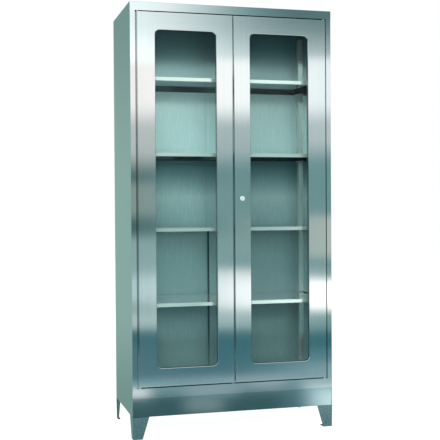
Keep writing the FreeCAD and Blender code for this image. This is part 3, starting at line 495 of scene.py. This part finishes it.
def foot_fasteners():
    """Two bolts through each foot's top plate, with their washers, and nuts on the base."""
    bolts, nuts = bmesh.new(), bmesh.new()
    for side in (-1, 1):
        for end in (-1, 1):
            for from_side, from_end in FRONT_BOLTS if end < 0 else REAR_BOLTS:
                x, y = side * (HALF_WIDTH - from_side), end * (HALF_DEPTH - from_end)
                head = Vector((x, y, FOOT_PLATE))
                turned(bolts, head, "Z", WASHER, WASHER_SIDES)
                turned(bolts, head, "Z", HEX_HEAD, HEX_SIDES)
                nut = Vector((x, y, CORNER_PLATE))
                turned(nuts, nut, "Z", NUT, HEX_SIDES)
                turned(nuts, nut, "Z", BOLT_END, SHANK_SIDES)
    add_piece("foot_bolts", bolts, "carcass")
    add_piece("foot_nuts", nuts, "carcass")


def liner_rivets(side_name, side):
    """Domed rivets round the window, on the inner face of a door."""
    face = reach(side_name + "_door_liner", "Y")[1]
    left, right = WINDOW_INNER - RIVET_MARGIN, WINDOW_OUTER + RIVET_MARGIN
    low, high = WINDOW_BOTTOM - RIVET_MARGIN, WINDOW_TOP + RIVET_MARGIN
    levels = [low + (high - low) * row / RIVET_ROWS for row in range(RIVET_ROWS + 1)]
    places = [(x, z) for x in (left, right) for z in levels]
    places += [((left + right) / 2, z) for z in (low, high)]
    rivets = bmesh.new()
    for x, z in places:
        turned(rivets, Vector((side * x, face, z)), "Y", RIVET, RIVET_SIDES)
    add_piece(side_name + "_door_rivets", rivets, side_name + "_door")


foot_fasteners()
liner_rivets("left", -1)
liner_rivets("right", 1)


# Studio

# The camera was fitted to the photograph. Its pixels are those of a 440-pixel picture.
CAMERA_PLACE = Vector((-1.173958, -4.334423, 1.035503))
CAMERA_AZIMUTH = math.radians(-15.117)
CAMERA_ELEVATION = math.radians(0.787)
CAMERA_ROLL = math.radians(-0.368)
FOCAL_PIXELS = 932.888
HALF_IMAGE = 220


def add_camera():
    """The photograph's view: place, turn, roll and angle of view."""
    data = bpy.data.cameras.new("camera")
    camera = bpy.data.objects.new("camera", data)
    bpy.context.scene.collection.objects.link(camera)
    back = Vector((math.sin(CAMERA_AZIMUTH) * math.cos(CAMERA_ELEVATION),
                   -math.cos(CAMERA_AZIMUTH) * math.cos(CAMERA_ELEVATION),
                   math.sin(CAMERA_ELEVATION)))
    right = (-back).cross(Vector((0, 0, 1))).normalized()
    up = right.cross(-back)
    tilted_right = right * math.cos(CAMERA_ROLL) + up * math.sin(CAMERA_ROLL)
    tilted_up = up * math.cos(CAMERA_ROLL) - right * math.sin(CAMERA_ROLL)
    turn = Matrix((tilted_right, tilted_up, back)).transposed().to_4x4()
    camera.matrix_world = Matrix.Translation(CAMERA_PLACE) @ turn
    data.sensor_fit = "HORIZONTAL"
    data.angle = 2 * math.atan(HALF_IMAGE / FOCAL_PIXELS)
    data.clip_end = 100
    bpy.context.scene.camera = camera


def add_lamp(name, place, target, size, power):
    """A soft square lamp for the matt pieces and the floor's shadow; metal doesn't mirror it."""
    data = bpy.data.lights.new(name, "AREA")
    data.shape = "SQUARE"
    data.size = size
    data.energy = power
    lamp = bpy.data.objects.new(name, data)
    bpy.context.scene.collection.objects.link(lamp)
    lamp.location = place
    lamp.rotation_euler = (Vector(target) - Vector(place)).to_track_quat("-Z", "Y").to_euler()
    lamp.visible_glossy = False


# Soft boxes round the cabinet. Each edge is an angle and how soft it is, in degrees: left and
# right by azimuth (0 in front of the doors, + to the right), low and high by elevation.
SOFT_BOXES = [
    ("upper front", (-70, 10), (20.2, 1.2), (5.6, 0.8), (8.95, 0.22), (1.18, 1.01, 1.01)),
    ("upper right", (20.2, 1.2), (60, 10), (5.6, 0.8), (8.95, 0.22), (0.86, 0.78, 0.80)),
    ("upper front, above", (-70, 10), (60, 10), (8.9, 0.2), (10.0, 1.4), (0.40, 0.41, 0.42)),
    ("left top", (-70, 10), (13.9, 4.2), (8.95, 0.25), (30, 5), (1.03, 0.98, 0.98)),
    ("left shoulder", (-70, 10), (13.3, 1.5), (2.7, 1.0), (5.6, 0.8), (0.60, 0.55, 0.54)),
    ("left window bar", (-70, 10), (13.3, 1.0), (-0.55, 0.5), (1.55, 0.4), (0.25, 0.25, 0.23)),
    ("left sill", (-70, 10), (13.3, 1.0), (-7.45, 0.25), (-1.75, 0.45), (0.29, 0.36, 0.37)),
    ("left core", (-70, 10), (13.3, 1.0), (-5.7, 0.4), (-4.2, 0.4), (0.22, 0.26, 0.27)),
    ("left foot light", (-70, 10), (13.3, 1.0), (-7.3, 0.25), (-6.5, 0.3), (0.22, 0.20, 0.19)),
    ("left low", (-70, 10), (12.4, 1.0), (-10.3, 0.4), (-8.3, 0.5), (0.06, 0.05, 0.05)),
    ("centre shoulder", (14.0, 1.0), (19.0, 1.0), (2.9, 0.6), (5.6, 0.6), (0.25, 0.19, 0.20)),
    ("centre top", (-70, 10), (18.5, 1.5), (8.95, 0.3), (30, 5), (0.08, 0.12, 0.13)),
    ("lower front", (14.2, 0.7), (18.6, 0.9), (-6.15, 0.5), (-3.85, 0.4), (1.18, 1.02, 1.03)),
    ("lower front, foot", (14.2, 0.7), (19.2, 0.8), (-7.35, 0.3), (-6.0, 0.5), (0.32, 0.29, 0.29)),
    ("right shoulder", (19.0, 1.0), (60, 10), (3.4, 0.8), (5.5, 0.9), (0.44, 0.36, 0.37)),
    ("right middle", (19.0, 1.0), (60, 10), (-3.1, 0.35), (-0.55, 0.25), (0.40, 0.29, 0.24)),
    ("lower right", (18.6, 0.9), (60, 10), (-6.3, 0.35), (-4.45, 0.3), (1.60, 1.40, 1.40)),
    ("floor edge", (13.0, 0.8), (16.2, 0.6), (-11.5, 0.15), (-10.35, 0.15), (0.26, 0.30, 0.32)),
    ("floor edge, far", (16.2, 0.6), (19, 1), (-11.2, 0.15), (-10.3, 0.2), (0.23, 0.25, 0.27)),
    ("door foot light", (16.9, 0.8), (19.3, 0.8), (-10.7, 0.3), (-10.1, 0.2), (0.26, 0.23, 0.23)),
    ("floor edge left", (-70, 10), (13.0, 0.8), (-11.4, 0.2), (-10.45, 0.25), (0.16, 0.24, 0.26)),
    ("floor right, far", (19.0, 1.0), (60, 10), (-14, 1.0), (-8.6, 0.2), (0.07, 0.12, 0.13)),
    ("floor right", (19.8, 0.8), (60, 10), (-11.0, 0.4), (-9.4, 0.3), (0.22, 0.22, 0.22)),
    ("rail light left", (-70, 10), (10.7, 0.6), (-11.5, 0.1), (-10.95, 0.15), (0.90, 0.82, 0.82)),
    ("rail light right", (20.3, 0.7), (60, 10), (-12.3, 0.4), (-10.8, 0.3), (0.44, 0.46, 0.46)),
    ("plinth light", (12.9, 0.7), (15.2, 0.7), (-12.4, 0.3), (-11.6, 0.2), (0.30, 0.29, 0.27)),
    ("plinth end", (21.0, 0.8), (60, 10), (-12.7, 0.3), (-11.1, 0.2), (0.72, 0.65, 0.65)),
    ("overhead", (-180, 1), (180, 1), (42, 12), (120, 1), (0.70, 0.70, 0.70)),
    ("right wall", (62, 6), (112, 6), (-8, 5), (34, 10), (0.60, 0.56, 0.55)),
    ("left wall", (-130, 6), (-78, 6), (-10, 5), (30, 8), (0.70, 0.65, 0.64)),
]

# The walls and the floor between them: a first colour, then changes of colour. Each change has
# the angle it is measured by, the degrees where it begins and ends, and the side that the new
# colour takes.
FAR_LEFT = (0.030, 0.100, 0.100, 1.0)
FRONT_ROOM = [
    ("azimuth", 9.8, 10.2, "over", (0.110, 0.230, 0.232, 1.0)),
    ("azimuth", 12.0, 14.5, "over", (0.197, 0.376, 0.390, 1.0)),
    ("elevation", 8.6, 9.3, "over", (0.120, 0.225, 0.240, 1.0)),
    ("elevation", -7.9, -7.2, "under", (0.046, 0.175, 0.220, 1.0)),
    ("elevation", -11.2, -10.6, "under", (0.078, 0.165, 0.175, 1.0)),
    ("elevation", -30, -16, "under", (0.80, 0.84, 0.84, 1.0)),
]
BEHIND_LEFT = (0.300, 0.470, 0.435, 1.0)
LEFT_ROOM_BEHIND = [
    ("elevation", 2.0, 13.0, "over", (0.205, 0.345, 0.320, 1.0)),
    ("elevation", -12.0, -6.0, "under", (0.205, 0.340, 0.315, 1.0)),
]
BEHIND_RIGHT = (0.560, 0.640, 0.630, 1.0)
BEHIND_RIGHT_LOW = (0.190, 0.275, 0.275, 1.0)
RIGHT_ROOM_BEHIND = [("elevation", -16.0, 14.0, "over", BEHIND_RIGHT)]
RIGHT_BAND, RIGHT_BAND_SHARE = ((-3.0, 2.5), (3.5, 2.5)), 0.5
# Where the rooms meet, by the direction's own x and y
LEFT_TO_RIGHT = (0.05, 0.30)
FRONT_TO_BACK = (-0.15, 0.35)


def room_colour(graph, angles, first, changes):
    """A first colour, changed one by one along the angles."""
    room = first
    for angle, low, high, side, colour in changes:
        share = graph.smooth(angles[angle], low, high)
        ends = (room, colour) if side == "over" else (colour, room)
        room = graph.blend(share, *ends)
    return room


def soft_band(graph, value, low_edge, high_edge):
    """1 between two edges, each of which is a value and how soft it is."""
    (low, low_soft), (high, high_soft) = low_edge, high_edge
    rise = graph.smooth(value, low - low_soft, low + low_soft)
    fall = graph.smooth(value, high - high_soft, high + high_soft, start=1.0, end=0.0)
    return graph.math("MULTIPLY", rise, fall)


def studio_colour(graph):
    """What the metal and the glass mirror: a teal room with soft boxes, by direction."""
    direction = graph.add("TexCoord").outputs["Generated"]
    x, y, z = graph.add("SeparateXYZ", {0: direction}).outputs
    degrees = math.degrees(1)
    elevation = graph.math("MULTIPLY", graph.math("ARCSINE", z), degrees)
    front = graph.math("MULTIPLY", y, -1.0)
    azimuth = graph.math("MULTIPLY", graph.math("ARCTAN2", x, front), degrees)
    angles = {"azimuth": azimuth, "elevation": elevation}
    room = room_colour(graph, angles, FAR_LEFT, FRONT_ROOM)
    for _, left, right, low, high, light in SOFT_BOXES:
        across = soft_band(graph, azimuth, left, right)
        upright = soft_band(graph, elevation, low, high)
        amount = graph.math("MULTIPLY", across, upright)
        glow = graph.add("VectorMath", {0: light}, operation="SCALE")
        graph.feed(glow.inputs["Scale"], amount)
        room = graph.add("VectorMath", {0: room, 1: glow.outputs[0]}, operation="ADD").outputs[0]
    left_behind = room_colour(graph, angles, BEHIND_LEFT, LEFT_ROOM_BEHIND)
    right_behind = room_colour(graph, angles, BEHIND_RIGHT_LOW, RIGHT_ROOM_BEHIND)
    band = graph.math("MULTIPLY", soft_band(graph, elevation, *RIGHT_BAND), RIGHT_BAND_SHARE)
    right_behind = graph.blend(band, right_behind, BEHIND_RIGHT)
    behind = graph.blend(graph.smooth(x, *LEFT_TO_RIGHT), left_behind, right_behind)
    return graph.blend(graph.smooth(y, *FRONT_TO_BACK), room, behind)


EVEN_LIGHT = (0.62, 0.63, 0.64, 1.0)
FLOOR_GREY = (0.30, 0.30, 0.30, 1.0)
# Each lamp: its name, its place, the point it faces, its size and its power
LAMPS = [
    ("key", (-2.6, -3.6, 3.4), (0, 0, 1.0), 2.4, 160),
    ("fill", (3.2, -2.8, 2.4), (0, 0, 0.9), 2.8, 100),
    ("front", (-0.9, -5.0, 1.5), (0, 0, 1.4), 2.0, 130),
    ("rear", (0.5, 3.6, 3.0), (0, 0, 1.0), 2.6, 60),
]


def set_world():
    """White behind the cabinet, the studio in its reflections, even light on matt pieces."""
    world = bpy.data.worlds.new("studio")
    bpy.context.scene.world = world
    world.use_nodes = True
    world.cycles.sampling_method = "NONE"
    graph = Graph(world.node_tree)
    rays = graph.add("LightPath").outputs
    seen = graph.math("MAXIMUM", rays["Is Camera Ray"], rays["Is Transmission Ray"])
    lit = graph.blend(rays["Is Glossy Ray"], EVEN_LIGHT, studio_colour(graph))
    colour = graph.blend(seen, lit, WHITE)
    background = graph.add("Background", {"Color": colour, "Strength": 1.0})
    graph.add("OutputWorld", {"Surface": background.outputs[0]})


def floor_material():
    """White to the camera except in shadow, and open to the studio in reflections."""
    material, graph = new_graph("floor_white")
    rays = graph.add("LightPath").outputs
    matt = graph.add("BsdfDiffuse", {"Color": FLOOR_GREY}).outputs[0]
    glow = graph.add("Emission", {"Color": WHITE, "Strength": 0.90}).outputs[0]
    both = graph.add("AddShader", {0: matt, 1: glow}).outputs[0]
    seen = graph.mix_shaders(rays["Is Camera Ray"], matt, both)
    open_to_studio = graph.add("BsdfTransparent").outputs[0]
    surface(graph, graph.mix_shaders(rays["Is Glossy Ray"], seen, open_to_studio))
    return material


def add_floor(half=14.0):
    mesh = bpy.data.meshes.new("floor")
    corners = [(-half, -half, 0), (half, -half, 0), (half, half, 0), (-half, half, 0)]
    mesh.from_pydata(corners, [], [(0, 1, 2, 3)])
    mesh.materials.append(floor_material())
    floor = bpy.data.objects.new("floor", mesh)
    bpy.context.scene.collection.objects.link(floor)


add_camera()
set_world()
add_floor()
for lamp in LAMPS:
    add_lamp(*lamp)
bpy.context.scene.view_settings.view_transform = "Standard"
